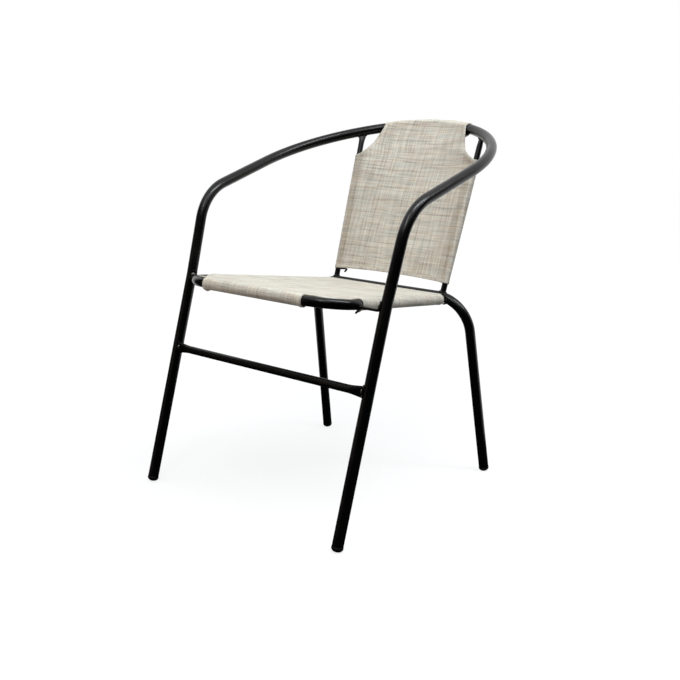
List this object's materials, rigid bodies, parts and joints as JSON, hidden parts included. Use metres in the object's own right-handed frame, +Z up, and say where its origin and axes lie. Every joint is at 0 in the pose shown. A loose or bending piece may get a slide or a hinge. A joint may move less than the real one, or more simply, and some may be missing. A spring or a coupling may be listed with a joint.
{
  "type": "sling patio chair",
  "caption": "Stacking patio armchair of bent black steel tube with a woven sling seat and a woven sling back.",
  "frame": {"origin": "on the floor, under the middle of the chair's width and of its depth", "axes": "+Z up, -Y towards the front where the sitter faces, +X to the right as seen from the front, which is the side of the nodes named right"},
  "size_m": [0.5624, 0.6594, 0.791],
  "materials": {
    "tube_black": "semi-gloss black powder coat on steel tube",
    "sling_cloth": "woven vinyl-coated polyester, mixed beige, grey and cream yarns",
    "screw_steel": "dark zinc-plated steel, slightly bright where handled",
    "foot_plastic": "matt black moulded polyethylene"
  },
  "bodies": {
    "root": {"arm_hoop_tube": "tube_black", "rear_leg_tube": "tube_black", "seat_rail_tube": "tube_black", "back_post_right": "tube_black", "back_post_left": "tube_black", "front_stretcher": "tube_black", "seat_bracket_right": "tube_black", "seat_bracket_left": "tube_black", "seat_sling": "sling_cloth", "back_sling": "sling_cloth", "stretcher_screw_right": "screw_steel", "stretcher_screw_left": "screw_steel", "bracket_screw_right": "screw_steel", "bracket_screw_left": "screw_steel", "front_foot_cap_right": "foot_plastic", "front_foot_cap_left": "foot_plastic", "rear_foot_cap_right": "foot_plastic", "rear_foot_cap_left": "foot_plastic"}
  },
  "joints": []
}
